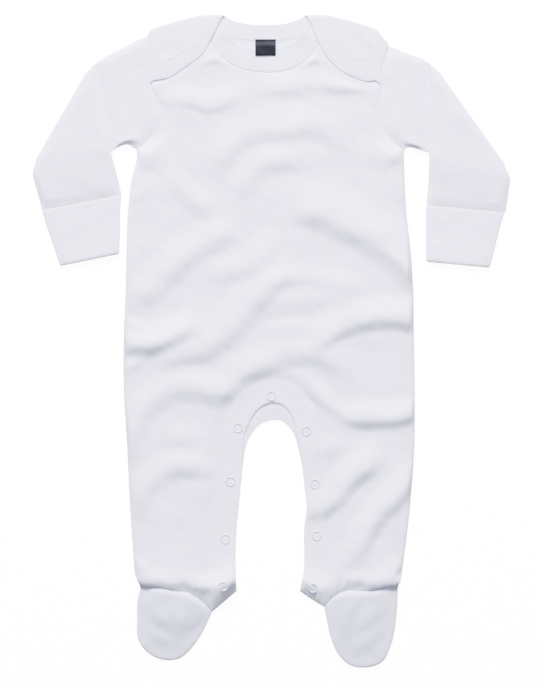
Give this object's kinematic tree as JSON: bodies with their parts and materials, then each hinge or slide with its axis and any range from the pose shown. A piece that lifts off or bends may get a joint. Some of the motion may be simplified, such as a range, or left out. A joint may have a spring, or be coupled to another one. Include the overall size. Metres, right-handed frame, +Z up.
{
  "type": "footed baby sleepsuit",
  "caption": "Footed baby sleepsuit in white cotton knit with an envelope neck, long doubled cuffs and snaps along the crotch and inner legs, laid flat on its back.",
  "frame": {"origin": "on the flat underside of the back, at mid body on the suit's centre line", "axes": "+X towards the wearer's left sleeve, +Y from the feet to the neck, +Z up from the surface the suit lies on, out through the front"},
  "size_m": [0.4262, 0.5812, 0.0079],
  "materials": {
    "body_cloth": "fine white cotton interlock knit, matt",
    "band_cloth": "fine white rib knit, doubled, matt",
    "label_cloth": "plain black woven satin, bare",
    "snap": "white enamelled ring snap cap, satin"
  },
  "bodies": {
    "root": {"back_panel": "body_cloth", "front_panel": "body_cloth", "right_sleeve": "body_cloth", "left_sleeve": "body_cloth", "right_foot_top": "body_cloth", "left_foot_top": "body_cloth", "right_foot_sole": "body_cloth", "left_foot_sole": "body_cloth", "back_neckband": "band_cloth", "front_neckband": "band_cloth", "right_cuff": "band_cloth", "left_cuff": "band_cloth", "label": "label_cloth", "snap_crotch": "snap", "snap_right_leg_1": "snap", "snap_right_leg_2": "snap", "snap_right_leg_3": "snap", "snap_right_leg_4": "snap", "snap_left_leg_1": "snap", "snap_left_leg_2": "snap", "snap_left_leg_3": "snap", "snap_left_leg_4": "snap"}
  },
  "joints": []
}
